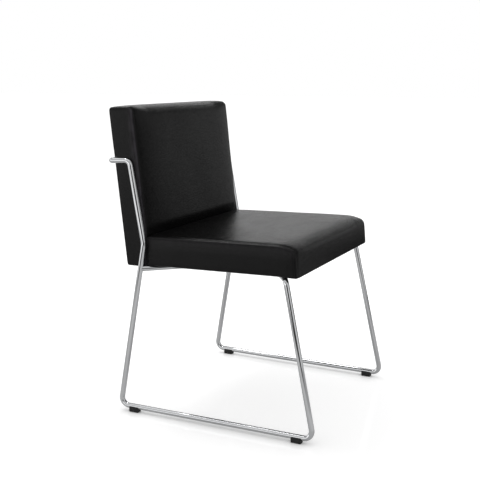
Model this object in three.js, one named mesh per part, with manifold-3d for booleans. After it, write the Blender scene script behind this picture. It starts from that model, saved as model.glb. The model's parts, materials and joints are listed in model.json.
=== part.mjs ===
// Sled base visitor chair: a frame of bent chrome rod that carries an upholstered seat and back.
// Millimetres, +Z up. The origin is on the floor under the middle of the chair and its front is -Y.
// Left and right are the sitter's, so the right side is at -X.
import * as THREE from 'three';
import { mergeVertices } from 'three/addons/utils/BufferGeometryUtils.js';
import Module from 'manifold-3d';

const wasm = await Module();
wasm.setup();

const degree = Math.PI / 180;

const fit = {
  touch: 0.3,         // between two pieces that lie on each other
  soft: 0.5,          // between the two cushions
  hole: 0.3,          // round a screw in its hole
  groove: 0.4,        // round the rod in a glide or a coped end
  side: 0.8,          // between a cushion's side and the rod beside it
  overrun: 5,         // how far a cutting solid runs past what it cuts
};

const rod = {
  diameter: 14,
  runnerBend: 20,     // radii of the bends, at the middle of the rod
  kneeBend: 50,
  stubBend: 15,
  crossBend: 12,
  legTopBend: 15,
  railBend: 24,
  return: 42,         // length of the side rod behind the back, to its weld
  legTopRun: 26,      // length of the side rod under the seat, to its weld
};

const seat = {
  front: -236.6,      // front edge of the underside, from the middle of the chair
  height: 409,        // the same edge above the floor
  width: 523,
  depth: 419.1,
  thickness: 76.6,
  pitch: 1.24 * degree,
  faceLean: 2.5,      // how far the front face leans back over its height
  brow: 36,           // the rounding over the front: its length along the top
  browDrop: 17.6,     // and down the face
  lowerRound: 5,
  rearRound: 8,
  crown: 4.5,
  drawIn: 1.5,        // how far each side is pulled in between its corners
};

const back = {
  width: 523,
  thickness: 69.8,
  height: 415.3,
  rearRise: 2,        // how much higher the rear of the top is, square to the lean
  lean: 6.4 * degree,
  lowerRound: 7,
  footBend: 12,       // rounding between the square foot and the face above it
  rearRound: 9,
  browTop: 13,        // the rounding of the top front edge: its length along the top
  browDrop: 15,       // and down the front
  crown: 9,
  squareFoot: 92,     // height at the foot where the front stands square to the seat, against it
  crownRise: 110,     // height over which the crown grows above that
  drawIn: 0.8,
};

const cover = { wall: 1.4, edge: 6, hem: 25, backHem: 12 };
const board = { thickness: 12 };
const batten = { width: 380, depth: 34, height: 30 };
const sheet = { thickness: 0.5, margin: 12, backMargin: 6 };

const legs = {
  rearFootOut: 7,     // how far a runner's rear corner stands outside the upright
  frontFootIn: 0.6,   // how far its front corner stands inside it
  frontLean: 14.2,    // how far the front leg leans inwards over its height
  rearRake: 77.1,     // how far the rear foot stands behind the knee
  frontRake: 83,      // how far the front foot stands before the leg's top
  topSetback: 32.4,   // how far the front leg's top is behind the seat's front edge
  kneeBehind: 4.4,    // place of the knee, behind the back's front face and up from its foot
  kneeUp: 60.6,
  stubBehind: 18,     // place of the bend into the stub, the same way
  stubUp: 277.8,
  stubRise: 4.5,      // how much the stub rises, square to the back, on its way to the rear
};

const rail = { inset: 69, frontTurn: 55 * degree, rearTurn: 39 * degree };
const bar = { width: 30, thickness: 4, frontPlace: 104, rearPlace: 322, screwInset: 43 };
const bracket = { width: 25, thickness: 4, fromWasher: 18, start: 300, tail: 54, screwFromEnd: 16 };
const tab = { width: 24, height: 34, thickness: 3, spacing: 300, screwDrop: 21 };
const glide = { length: 26, wall: 1.6, foot: 7.6, chamfer: 2, fromCorner: 30 };

const screw = { shank: 6, head: 11, headHeight: 3.3, crownShare: 0.5, rimShare: 0.33, point: 1 };
const washer = { diameter: 12.5, thickness: 1.2 };
const nut = { barrel: 8, barrelLength: 9, flange: 18, flangeThickness: 1.2 };
const woodScrew = { bite: 22 };

const rodSides = 12;
const smallSides = 10;
const bendStep = 18 * degree;
const crossShares = [0, 0.34, 0.62, 0.82, 0.94, 1];   // where a cushion is cut across, from its middle

const material = {
  chrome: new THREE.MeshStandardMaterial({ color: 0xd8dbde, roughness: 0.08, metalness: 1 }),
  leather: new THREE.MeshStandardMaterial({ color: 0x151516, roughness: 0.42, metalness: 0 }),
  foam: new THREE.MeshStandardMaterial({ color: 0xd9c58c, roughness: 0.95, metalness: 0 }),
  plywood: new THREE.MeshStandardMaterial({ color: 0xb98f5c, roughness: 0.7, metalness: 0 }),
  liner: new THREE.MeshStandardMaterial({ color: 0x1b1b1c, roughness: 0.95, metalness: 0 }),
  plastic: new THREE.MeshStandardMaterial({ color: 0x101011, roughness: 0.6, metalness: 0 }),
  zinc: new THREE.MeshStandardMaterial({ color: 0xb4b7ba, roughness: 0.35, metalness: 1 }),
};

// Values that follow from the sizes above.
const rodRadius = rod.diameter / 2;
const relativeLean = back.lean - seat.pitch;
const barTop = -(2 * fit.touch + sheet.thickness);
const barBottom = barTop - bar.thickness;
const bracketTop = barBottom - fit.touch;
const railLevel = barTop - rodRadius;
const backFoot = bracketTop + 2 * fit.touch + sheet.thickness;
const backPlace = seat.depth + fit.soft - back.squareFoot * Math.sin(relativeLean);
const uprightPlace = Math.max(seat.width, back.width) / 2 + fit.side + rodRadius;
const railPlace = uprightPlace - rail.inset;
const crossBehind = back.thickness + fit.touch + rodRadius;
const crossUp = legs.stubUp + legs.stubRise;

// The seat's own frame starts at the front edge of its underside: y runs rearwards along the underside
// and z square to it. In the back's frame z runs up along its front face, and starts level with its foot.
const seatGroup = new THREE.Group();
seatGroup.position.set(0, seat.front, seat.height);
seatGroup.rotation.x = -seat.pitch;
seatGroup.updateMatrixWorld();
const fromSeat = (x, y, z) => new THREE.Vector3(x, y, z).applyMatrix4(seatGroup.matrixWorld);
const toSeat = (point) => point.clone().applyMatrix4(seatGroup.matrixWorld.clone().invert());

const backGroup = new THREE.Group();
backGroup.position.copy(fromSeat(0, backPlace, backFoot));
backGroup.rotation.x = -back.lean;
backGroup.updateMatrixWorld();
const fromBack = (x, y, z) => new THREE.Vector3(x, y, z).applyMatrix4(backGroup.matrixWorld);

const chair = new THREE.Group();
chair.add(seatGroup, backGroup);

const sides = [{ name: 'right', sign: -1 }, { name: 'left', sign: 1 }];

function addPiece(group, name, geometry, finish, place = new THREE.Vector3(), turn = new THREE.Euler()) {
  const piece = new THREE.Mesh(geometry, finish);
  piece.name = name;
  piece.position.copy(place);
  piece.rotation.copy(turn);
  group.add(piece);
  return piece;
}

// A closed mesh as a solid for joining and cutting, and back.
function toSolid(geometry) {
  const bare = geometry.clone();
  bare.deleteAttribute('normal');
  bare.deleteAttribute('uv');
  const merged = mergeVertices(bare);
  return new wasm.Manifold(new wasm.Mesh({
    numProp: 3,
    vertProperties: new Float32Array(merged.attributes.position.array),
    triVerts: new Uint32Array(merged.index.array),
  }));
}

function toGeometry(solid) {
  const mesh = solid.getMesh();
  const geometry = new THREE.BufferGeometry();
  geometry.setAttribute('position', new THREE.BufferAttribute(mesh.vertProperties, 3));
  geometry.setIndex(new THREE.BufferAttribute(mesh.triVerts, 1));
  geometry.computeVertexNormals();
  return geometry;
}

function cutFrom(geometry, ...cutters) {
  const left = cutters.reduce((solid, cutter) => solid.subtract(toSolid(cutter)), toSolid(geometry));
  return toGeometry(left);
}

function boxBetween(low, high) {
  const size = new THREE.Vector3().subVectors(high, low);
  const middle = new THREE.Vector3().addVectors(low, high).multiplyScalar(0.5);
  return new THREE.BoxGeometry(size.x, size.y, size.z).translate(middle.x, middle.y, middle.z);
}

// An outline drawn in y and z, carried across the chair between two places on x.
function acrossChair(outline, from, to) {
  const shape = new THREE.Shape(outline.map(([y, z]) => new THREE.Vector2(y, z)));
  const geometry = new THREE.ExtrudeGeometry(shape, { depth: to - from, bevelEnabled: false });
  const basis = new THREE.Matrix4().makeBasis(
    new THREE.Vector3(0, 1, 0), new THREE.Vector3(0, 0, 1), new THREE.Vector3(1, 0, 0));
  return geometry.applyMatrix4(basis).translate(from, 0, 0);
}

// A flat plate in x and y with round holes, its top at z = 0.
function plate(low, high, thickness, holes, holeRadius) {
  const shape = new THREE.Shape([
    new THREE.Vector2(low.x, low.y), new THREE.Vector2(high.x, low.y),
    new THREE.Vector2(high.x, high.y), new THREE.Vector2(low.x, high.y)]);
  for (const hole of holes) {
    shape.holes.push(new THREE.Path().absarc(hole.x, hole.y, holeRadius, 0, 2 * Math.PI, true));
  }
  const options = { depth: thickness, bevelEnabled: false, curveSegments: smallSides / 2 };
  return new THREE.ExtrudeGeometry(shape, options).translate(0, 0, -thickness);
}

// The middle of a bent rod: straight runs with a round bend at each inner corner. Its parameter counts
// stations instead of length, so a straight run takes one step and a bend a few.
class BentLine extends THREE.Curve {
  constructor(corners, bends) {
    super();
    this.stations = [];
    const last = corners.length - 1;
    for (let i = 0; i <= last; i += 1) {
      const before = new THREE.Vector3().subVectors(corners[i], corners[Math.max(i - 1, 0)]).normalize();
      const after = new THREE.Vector3().subVectors(corners[Math.min(i + 1, last)], corners[i]).normalize();
      if (i === 0 || i === last) {
        this.stations.push({ point: corners[i].clone(), tangent: i === 0 ? after : before });
      } else {
        this.addBend(corners[i], before, after, bends[i - 1]);
      }
    }
  }

  addBend(corner, before, after, radius) {
    const turn = before.angleTo(after);
    const start = corner.clone().addScaledVector(before, -radius * Math.tan(turn / 2));
    const inward = new THREE.Vector3().subVectors(after, before).normalize();
    const middle = corner.clone().addScaledVector(inward, radius / Math.cos(turn / 2));
    const outward = new THREE.Vector3().subVectors(start, middle);
    const steps = Math.ceil(turn / bendStep);
    for (let step = 0; step <= steps; step += 1) {
      const angle = (turn * step) / steps;
      const point = middle.clone().addScaledVector(outward, Math.cos(angle));
      point.addScaledVector(before, radius * Math.sin(angle));
      const tangent = before.clone().multiplyScalar(Math.cos(angle));
      tangent.addScaledVector(outward, -Math.sin(angle) / radius);
      this.stations.push({ point, tangent });
    }
  }

  getPoint(t) {
    const place = t * (this.stations.length - 1);
    const index = Math.min(Math.floor(place), this.stations.length - 2);
    const part = place - index;
    return this.stations[index].point.clone().lerp(this.stations[index + 1].point, part);
  }

  getTangent(t) {
    return this.stations[Math.round(t * (this.stations.length - 1))].tangent.clone().normalize();
  }

  getPointAt(u) {
    return this.getPoint(u);
  }

  getTangentAt(u) {
    return this.getTangent(u);
  }
}

function rodSolid(line, radius = rodRadius) {
  const section = new THREE.Shape();
  for (let i = 0; i < rodSides; i += 1) {
    const angle = (2 * Math.PI * i) / rodSides;
    const x = radius * Math.cos(angle);
    const y = radius * Math.sin(angle);
    if (i === 0) section.moveTo(x, y);
    else section.lineTo(x, y);
  }
  section.closePath();
  return new THREE.ExtrudeGeometry(section, { steps: line.stations.length - 1, extrudePath: line });
}

// The corners of one side of the frame, where its straight runs would cross.
function sideCorners(sign) {
  const at = (x) => sign * x;
  const cross = fromBack(at(uprightPlace), crossBehind, crossUp);
  const stub = fromBack(at(uprightPlace), legs.stubBehind, legs.stubUp);
  const knee = fromBack(at(uprightPlace), legs.kneeBehind, legs.kneeUp);
  const runnerLevel = glide.foot + rodRadius;
  const rearFoot = new THREE.Vector3(at(uprightPlace + legs.rearFootOut), knee.y + legs.rearRake, runnerLevel);
  const frontFootPlace = uprightPlace - legs.frontFootIn;
  const legTop = fromSeat(at(frontFootPlace - legs.frontLean), legs.topSetback, railLevel);
  const frontFoot = new THREE.Vector3(at(frontFootPlace), legTop.y - legs.frontRake, runnerLevel);
  return { cross, stub, knee, rearFoot, frontFoot, legTop };
}

// The corners of one seat rail, in the seat's frame: in from the front leg, rearwards, and out again
// to the rear leg, whose middle passes the rail's level at legMeet.
function railCorners(sign) {
  const corners = sideCorners(sign);
  const knee = toSeat(corners.knee);
  const rearFoot = toSeat(corners.rearFoot);
  const legMeet = knee.clone().lerp(rearFoot, (knee.z - railLevel) / (knee.z - rearFoot.z));
  const legTop = toSeat(corners.legTop);
  const frontRun = (Math.abs(legTop.x) - railPlace) / Math.tan(rail.frontTurn);
  const rearRun = (Math.abs(legMeet.x) - railPlace) / Math.tan(rail.rearTurn);
  const inner = new THREE.Vector3(sign * railPlace, legTop.y + frontRun, railLevel);
  const outer = new THREE.Vector3(sign * railPlace, legMeet.y - rearRun, railLevel);
  return { legTop, inner, outer, legMeet };
}

function towards(from, to, length) {
  return from.clone().addScaledVector(new THREE.Vector3().subVectors(to, from).normalize(), length);
}

function addFrame() {
  for (const side of sides) {
    const { cross, stub, knee, rearFoot, frontFoot, legTop } = sideCorners(side.sign);
    const weld = cross.clone();
    weld.x -= side.sign * rod.return;
    const under = railCorners(side.sign);
    const inner = fromSeat(under.inner.x, under.inner.y, under.inner.z);
    const rodEnd = towards(legTop, inner, rod.legTopRun);
    const turns = [rod.crossBend, rod.stubBend, rod.kneeBend, rod.runnerBend, rod.runnerBend, rod.legTopBend];
    const line = new BentLine([weld, cross, stub, knee, rearFoot, frontFoot, legTop, rodEnd], turns);
    addPiece(chair, `side_rod_${side.name}`, rodSolid(line), material.chrome);

    const railStart = towards(under.legTop, under.inner, rod.legTopRun + fit.touch);
    const railPoints = [railStart, under.inner, under.outer, under.legMeet];
    const railSolid = rodSolid(new BentLine(railPoints, [rod.railBend, rod.railBend]));
    const legLine = new BentLine([toSeat(knee), toSeat(rearFoot)], []);
    const coped = cutFrom(railSolid, rodSolid(legLine, rodRadius + fit.groove));
    addPiece(seatGroup, `seat_rail_${side.name}`, coped, material.chrome);
  }
  const reach = uprightPlace - rod.return - fit.touch;
  const rightEnd = fromBack(-reach, crossBehind, crossUp);
  const leftEnd = fromBack(reach, crossBehind, crossUp);
  addPiece(chair, 'back_cross_rod', rodSolid(new BentLine([rightEnd, leftEnd], [])), material.chrome);
}

// The room that the rear ends of the rails take, in the back's frame: they press into its foot.
function railRoom() {
  const toBack = backGroup.matrixWorld.clone().invert().multiply(seatGroup.matrixWorld);
  return sides.map((side) => {
    const { inner, outer, legMeet } = railCorners(side.sign);
    const line = new BentLine([inner, outer, legMeet], [rod.railBend]);
    return rodSolid(line, rodRadius + fit.touch).applyMatrix4(toBack);
  });
}

// Two flat bars between the rails carry the seat. They lie level with the tops of the rails.
const barHalf = railPlace - Math.sqrt(rodRadius ** 2 - (rodRadius - bar.thickness) ** 2) - fit.touch;
const seatScrewPlace = railPlace - bar.screwInset;
const seatScrews = [
  { name: 'front_right', x: -seatScrewPlace, y: bar.frontPlace },
  { name: 'front_left', x: seatScrewPlace, y: bar.frontPlace },
  { name: 'rear_right', x: -seatScrewPlace, y: bar.rearPlace },
  { name: 'rear_left', x: seatScrewPlace, y: bar.rearPlace },
];
const screwHole = screw.shank / 2 + fit.hole;

function addSeatBars() {
  for (const [name, place] of [['front_cross_bar', bar.frontPlace], ['rear_cross_bar', bar.rearPlace]]) {
    const low = new THREE.Vector2(-barHalf, place - bar.width / 2);
    const high = new THREE.Vector2(barHalf, place + bar.width / 2);
    const holes = seatScrews.filter((spot) => spot.y === place);
    const geometry = plate(low, high, bar.thickness, holes, screwHole);
    addPiece(seatGroup, name, geometry, material.chrome, new THREE.Vector3(0, 0, barTop));
  }
}

// Two flat brackets run from under the rear bar to under the back and hold its foot.
const bracketEnd = backPlace + bracket.tail;
const bracketScrewPlace = bracketEnd - bracket.screwFromEnd;
const bracketPlace = seatScrewPlace - washer.diameter / 2 - bracket.fromWasher - bracket.width / 2;

function addBackBrackets() {
  for (const side of sides) {
    const middle = side.sign * bracketPlace;
    const low = new THREE.Vector2(middle - bracket.width / 2, bracket.start);
    const high = new THREE.Vector2(middle + bracket.width / 2, bracketEnd);
    const holes = [{ x: middle, y: bracketScrewPlace }];
    const geometry = plate(low, high, bracket.thickness, holes, screwHole);
    const place = new THREE.Vector3(0, 0, bracketTop);
    addPiece(seatGroup, `back_bracket_${side.name}`, geometry, material.chrome, place);
  }
}

// Flat tabs hang from the cross rod, against the rear of the back. Each takes one screw.
const tabFront = back.thickness + fit.touch;
const tabTop = crossUp - Math.sqrt(rodRadius ** 2 - (rodRadius - tab.thickness) ** 2) - fit.touch;

function addBackTabs() {
  for (const side of sides) {
    const middle = (side.sign * tab.spacing) / 2;
    const low = new THREE.Vector2(middle - tab.width / 2, tabTop - tab.height);
    const high = new THREE.Vector2(middle + tab.width / 2, tabTop);
    const holes = [{ x: middle, y: crossUp - tab.screwDrop }];
    const geometry = plate(low, high, tab.thickness, holes, screwHole);
    const place = new THREE.Vector3(0, tabFront, 0);
    const turn = new THREE.Euler(Math.PI / 2, 0, 0);
    addPiece(backGroup, `back_tab_${side.name}`, geometry, material.chrome, place, turn);
  }
}

// A clip-on glide: a block under the runner whose cheeks reach up to the middle of the rod.
function glideSolid() {
  const groove = rodRadius + fit.groove;
  const half = groove + glide.wall;
  const base = rodRadius + glide.foot;
  const shape = new THREE.Shape();
  shape.moveTo(-half, 0);
  shape.lineTo(-half, -base + glide.chamfer);
  shape.lineTo(-half + glide.chamfer, -base);
  shape.lineTo(half - glide.chamfer, -base);
  shape.lineTo(half, -base + glide.chamfer);
  shape.lineTo(half, 0);
  shape.lineTo(groove, 0);
  shape.absarc(0, 0, groove, 0, -Math.PI, true);
  shape.closePath();
  const options = { depth: glide.length, bevelEnabled: false, curveSegments: rodSides / 2 };
  const geometry = new THREE.ExtrudeGeometry(shape, options).translate(0, 0, -glide.length / 2);
  return geometry.rotateX(Math.PI / 2);
}

function addGlides() {
  for (const side of sides) {
    const { rearFoot, frontFoot } = sideCorners(side.sign);
    const fromEnd = glide.fromCorner + glide.length / 2;
    const turn = new THREE.Euler(0, 0, Math.atan2(frontFoot.x - rearFoot.x, rearFoot.y - frontFoot.y));
    const frontPlace = towards(frontFoot, rearFoot, fromEnd);
    const rearPlace = towards(rearFoot, frontFoot, fromEnd);
    addPiece(chair, `glide_front_${side.name}`, glideSolid(), material.plastic, frontPlace, turn);
    addPiece(chair, `glide_rear_${side.name}`, glideSolid(), material.plastic, rearPlace, turn);
  }
}

function crossing(first, second) {
  const [px, py, dx, dy] = first;
  const [qx, qy, ex, ey] = second;
  const share = ((qx - px) * ey - (qy - py) * ex) / (dx * ey - dy * ex);
  return [px + dx * share, py + dy * share];
}

// A cushion's outline seen from the side, drawn in by an inset all round. Every corner has its place,
// the lengths over which the edge before it and the edge after it round off, the steps of that
// rounding, and the steps of the straight run that follows it.
function cushionOutline(corners, inset) {
  const count = corners.length;
  const lines = corners.map((corner, i) => {
    const next = corners[(i + 1) % count].at;
    const length = Math.hypot(next[0] - corner.at[0], next[1] - corner.at[1]);
    const dx = (next[0] - corner.at[0]) / length;
    const dy = (next[1] - corner.at[1]) / length;
    return [corner.at[0] - dy * inset, corner.at[1] + dx * inset, dx, dy];
  });
  const places = lines.map((line, i) => crossing(lines[(i + count - 1) % count], line));
  const arcs = corners.map((corner, i) => {
    const [, , backX, backY] = lines[(i + count - 1) % count];
    const [, , onX, onY] = lines[i];
    const before = Math.max(corner.before - inset, fit.touch);
    const after = Math.max(corner.after - inset, fit.touch);
    const points = [];
    for (let step = 0; step <= corner.arc; step += 1) {
      const angle = (Math.PI / 2) * (step / corner.arc);
      const toBefore = before * (1 - Math.sin(angle));
      const toAfter = after * (1 - Math.cos(angle));
      points.push([
        places[i][0] - backX * toBefore + onX * toAfter,
        places[i][1] - backY * toBefore + onY * toAfter]);
    }
    return points;
  });
  return arcs.flatMap((points, i) => {
    const from = points[points.length - 1];
    const to = arcs[(i + 1) % count][0];
    const run = [];
    for (let step = 1; step < corners[i].run; step += 1) {
      const share = step / corners[i].run;
      run.push([from[0] + (to[0] - from[0]) * share, from[1] + (to[1] - from[1]) * share]);
    }
    return [...points, ...run];
  });
}

// A closed cushion: its outline carried across the chair, drawn in round its two ends, and shaped.
function cushionSolid(corners, width, shape, inset) {
  const half = width / 2 - inset;
  const edge = cover.edge - inset;
  const stations = crossShares.map((share) => ({ x: (half - edge) * share, inset }));
  for (const angle of [30 * degree, 60 * degree, 90 * degree]) {
    stations.push({ x: half - edge * (1 - Math.sin(angle)), inset: inset + edge * (1 - Math.cos(angle)) });
  }
  const mirrored = stations.slice(1).reverse().map((station) => ({ ...station, x: -station.x }));
  const rings = [...mirrored, ...stations].map((station) => (
    cushionOutline(corners, station.inset).map(([y, z]) => shape(station.x, y, z))));
  const count = rings[0].length;
  const points = rings.flat();
  const faces = [];
  for (let ring = 0; ring + 1 < rings.length; ring += 1) {
    for (let i = 0; i < count; i += 1) {
      const a = ring * count + i;
      const b = ring * count + ((i + 1) % count);
      faces.push(a, b, b + count, a, b + count, a + count);
    }
  }
  for (const ring of [0, rings.length - 1]) {
    const middle = new THREE.Vector3();
    rings[ring].forEach((point) => middle.addScaledVector(point, 1 / count));
    points.push(middle);
    for (let i = 0; i < count; i += 1) {
      const a = ring * count + i;
      const b = ring * count + ((i + 1) % count);
      if (ring === 0) faces.push(points.length - 1, b, a);
      else faces.push(points.length - 1, a, b);
    }
  }
  const geometry = new THREE.BufferGeometry().setFromPoints(points);
  geometry.setIndex(faces);
  return geometry;
}

const seatCorners = [
  { at: [0, 0], before: seat.lowerRound, after: seat.lowerRound, arc: 2, run: 3 },
  { at: [seat.depth, 0], before: seat.lowerRound, after: seat.lowerRound, arc: 2, run: 2 },
  { at: [seat.depth, seat.thickness], before: seat.rearRound, after: seat.rearRound, arc: 3, run: 7 },
  { at: [seat.faceLean, seat.thickness], before: seat.brow, after: seat.browDrop, arc: 6, run: 3 },
];

const footFront = back.squareFoot * Math.tan(relativeLean);
const backCorners = [
  { at: [footFront, footFront * Math.tan(relativeLean)],
    before: back.lowerRound, after: back.lowerRound, arc: 2, run: 2 },
  { at: [back.thickness, back.thickness * Math.tan(relativeLean)],
    before: back.lowerRound, after: back.lowerRound, arc: 2, run: 4 },
  { at: [back.thickness, back.height + back.rearRise],
    before: back.rearRound, after: back.rearRound, arc: 3, run: 2 },
  { at: [0, back.height], before: back.browTop, after: back.browDrop, arc: 5, run: 7 },
  { at: [0, back.squareFoot], before: back.footBend, after: back.footBend, arc: 2, run: 2 },
];

const boardTop = cover.wall + fit.touch + board.thickness;

// The seat's top is crowned, and its sides are pulled in between their corners.
function seatShape(x, y, z) {
  const across = Math.min(Math.abs(x) / (seat.width / 2), 1);
  const along = THREE.MathUtils.clamp((2 * y) / seat.depth - 1, -1, 1);
  const up = THREE.MathUtils.clamp((z - boardTop) / (seat.thickness - boardTop), 0, 1);
  const lift = seat.crown * (1 - across ** 4) * (1 - along ** 4) * up ** 2;
  const pull = seat.drawIn * across ** 3 * (1 - along ** 2) * up;
  return new THREE.Vector3(x - Math.sign(x) * pull, y, z + lift);
}

// The back's front is crowned above the part that stays flat against the seat.
function backShape(x, y, z) {
  const across = Math.min(Math.abs(x) / (back.width / 2), 1);
  const rise = THREE.MathUtils.smoothstep(z, back.squareFoot, back.squareFoot + back.crownRise);
  const toTop = THREE.MathUtils.clamp(z / back.height, 0, 1);
  const toFront = THREE.MathUtils.clamp(1 - y / boardFront, 0, 1);
  const swell = back.crown * (1 - across ** 4) * rise * (1 - toTop ** 8) * toFront;
  const pull = back.drawIn * across ** 3 * rise * (1 - toTop ** 8) * Math.sqrt(toFront);
  return new THREE.Vector3(x - Math.sign(x) * pull, y - swell, z);
}

// The seat's board stays inside the rounding of the leather's lower edge.
const boardInset = cover.edge + fit.touch;
const seatBoardLow = new THREE.Vector3(-seat.width / 2 + boardInset, boardInset, cover.wall + fit.touch);
const seatBoardHigh = new THREE.Vector3(seat.width / 2 - boardInset, seat.depth - boardInset, boardTop);

function grown(vector, amount) {
  return vector.clone().addScalar(amount);
}

// A T-nut's bore and, at the top of the board, the recess of its flange. The recess starts at z = 0.
function nutCutters(x, y, top) {
  const bore = nut.barrel / 2 + fit.hole;
  const recess = nut.flange / 2 + fit.hole;
  const depth = nut.flangeThickness + fit.touch;
  const through = board.thickness + 2 * fit.overrun;
  const boreCutter = new THREE.CylinderGeometry(bore, bore, through, smallSides).rotateX(Math.PI / 2);
  const flangeCutter = new THREE.CylinderGeometry(recess, recess, 2 * depth, smallSides).rotateX(Math.PI / 2);
  return [boreCutter.translate(x, y, top - board.thickness / 2), flangeCutter.translate(x, y, top)];
}

function addSeatCushion() {
  const boardCutters = seatScrews.flatMap((spot) => nutCutters(spot.x, spot.y, boardTop));
  const boardSolid = cutFrom(boxBetween(seatBoardLow, seatBoardHigh), ...boardCutters);
  addPiece(seatGroup, 'seat_board', boardSolid, material.plywood);

  const boardRoom = boxBetween(grown(seatBoardLow, -fit.touch), grown(seatBoardHigh, fit.touch));
  const foamForm = cushionSolid(seatCorners, seat.width, seatShape, cover.wall + fit.touch);
  addPiece(seatGroup, 'seat_foam', cutFrom(foamForm, boardRoom), material.foam);

  const mouth = boxBetween(
    new THREE.Vector3(-seat.width / 2 + cover.hem, cover.hem, -fit.overrun),
    new THREE.Vector3(seat.width / 2 - cover.hem, seat.depth - cover.hem, cover.wall + fit.overrun));
  const outside = cushionSolid(seatCorners, seat.width, seatShape, 0);
  const inside = cushionSolid(seatCorners, seat.width, seatShape, cover.wall);
  addPiece(seatGroup, 'seat_cover', cutFrom(outside, inside, mouth), material.leather);

  const low = new THREE.Vector2(-seat.width / 2 + sheet.margin, sheet.margin);
  const high = new THREE.Vector2(seat.width / 2 - sheet.margin, seat.depth - sheet.margin);
  const liner = plate(low, high, sheet.thickness, seatScrews, screwHole);
  addPiece(seatGroup, 'seat_dust_cover', liner, material.liner, new THREE.Vector3(0, 0, -fit.touch));
}

// The back's board lies against the leather at the rear. Its bottom rests on nothing: the batten before
// it takes the bracket screws.
const boardRear = back.thickness - cover.wall - fit.touch;
const boardFront = boardRear - board.thickness;
const boardFoot = back.thickness * Math.tan(relativeLean) + back.lowerRound + fit.touch;
const boardHead = back.height - back.rearRound - fit.touch;
const backBoardHalf = back.width / 2 - boardInset;
const tabScrewUp = crossUp - tab.screwDrop;

function battenOutline(grow) {
  const rear = boardFront - fit.touch;
  const front = rear - batten.depth - grow;
  const floor = (y) => y * Math.tan(relativeLean) + (cover.wall + fit.touch) / Math.cos(relativeLean) - grow;
  const top = batten.height + grow;
  return [[front, floor(front)], [rear + grow, floor(rear + grow)], [rear + grow, top], [front, top]];
}

function addBackCushion() {
  const holes = sides.map((side) => ({ x: (side.sign * tab.spacing) / 2, y: tabScrewUp }));
  const toRear = new THREE.Matrix4().makeRotationX(Math.PI / 2);
  const low = new THREE.Vector3(-backBoardHalf, boardFront, boardFoot);
  const high = new THREE.Vector3(backBoardHalf, boardRear, boardHead);
  const boardCutters = holes.flatMap((hole) => (
    nutCutters(hole.x, hole.y, 0).map((cutter) => cutter.applyMatrix4(toRear).translate(0, boardFront, 0))));
  addPiece(backGroup, 'back_board', cutFrom(boxBetween(low, high), ...boardCutters), material.plywood);

  const boardRoom = boxBetween(grown(low, -fit.touch), grown(high, fit.touch));
  const battenHalf = batten.width / 2;
  const battenRoom = acrossChair(battenOutline(fit.touch), -battenHalf - fit.touch, battenHalf + fit.touch);
  const foamForm = cushionSolid(backCorners, back.width, backShape, cover.wall + fit.touch);
  addPiece(backGroup, 'back_foam', cutFrom(foamForm, boardRoom, battenRoom, ...railRoom()), material.foam);

  const mouthTop = back.thickness * Math.tan(relativeLean) + cover.wall + fit.overrun;
  const mouth = boxBetween(
    new THREE.Vector3(-back.width / 2 + cover.hem, footFront + cover.backHem, -fit.overrun),
    new THREE.Vector3(back.width / 2 - cover.hem, back.thickness - cover.backHem, mouthTop));
  const screwCutters = holes.map((hole) => (
    new THREE.CylinderGeometry(screwHole, screwHole, 2 * fit.overrun, smallSides)
      .translate(hole.x, back.thickness, hole.y)));
  const outside = cushionSolid(backCorners, back.width, backShape, 0);
  const inside = cushionSolid(backCorners, back.width, backShape, cover.wall);
  const coverSolid = cutFrom(outside, inside, mouth, ...screwCutters, ...railRoom());
  addPiece(backGroup, 'back_cover', coverSolid, material.leather);
}

// What closes the foot of the back lies level with the seat's underside, so it is placed from there.
function addBackFoot() {
  const turned = (point) => {
    const [y, z] = point;
    const cos = Math.cos(relativeLean);
    const sin = Math.sin(relativeLean);
    return [backPlace + y * cos + z * sin, backFoot - y * sin + z * cos];
  };
  const battenHalf = batten.width / 2;
  const block = acrossChair(battenOutline(0).map(turned), -battenHalf, battenHalf);
  const boreLength = 2 * (woodScrew.bite + fit.overrun);
  const bores = sides.map((side) => (
    new THREE.CylinderGeometry(screwHole, screwHole, boreLength, smallSides)
      .rotateX(Math.PI / 2).translate(side.sign * bracketPlace, bracketScrewPlace, backFoot)));
  addPiece(seatGroup, 'back_batten', cutFrom(block, ...bores), material.plywood);

  const low = new THREE.Vector2(-back.width / 2 + sheet.margin, seat.depth + fit.soft + sheet.backMargin);
  const footDepth = back.thickness / Math.cos(relativeLean);
  const high = new THREE.Vector2(back.width / 2 - sheet.margin, backPlace + footDepth - sheet.backMargin);
  const holes = sides.map((side) => ({ x: side.sign * bracketPlace, y: bracketScrewPlace }));
  const strip = plate(low, high, sheet.thickness, holes, screwHole);
  addPiece(seatGroup, 'back_dust_strip', strip, material.liner, new THREE.Vector3(0, 0, backFoot - fit.touch));
}

// A round-headed screw along y, its head under y = 0 and its shank above.
function screwSolid(length) {
  const shank = screw.shank / 2;
  const head = screw.head / 2;
  const profile = [
    [0, -screw.headHeight], [head * screw.crownShare, -screw.headHeight],
    [head, -screw.headHeight * screw.rimShare], [head, 0],
    [shank, 0], [shank, length - screw.point], [shank - screw.point, length], [0, length]];
  return new THREE.LatheGeometry(profile.map(([x, y]) => new THREE.Vector2(x, y)), smallSides);
}

// A washer along y, from y = 0 up.
function washerSolid() {
  const outer = washer.diameter / 2;
  const profile = [
    [screwHole, 0], [outer, 0], [outer, washer.thickness], [screwHole, washer.thickness], [screwHole, 0]];
  return new THREE.LatheGeometry(profile.map(([x, y]) => new THREE.Vector2(x, y)), smallSides);
}

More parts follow.
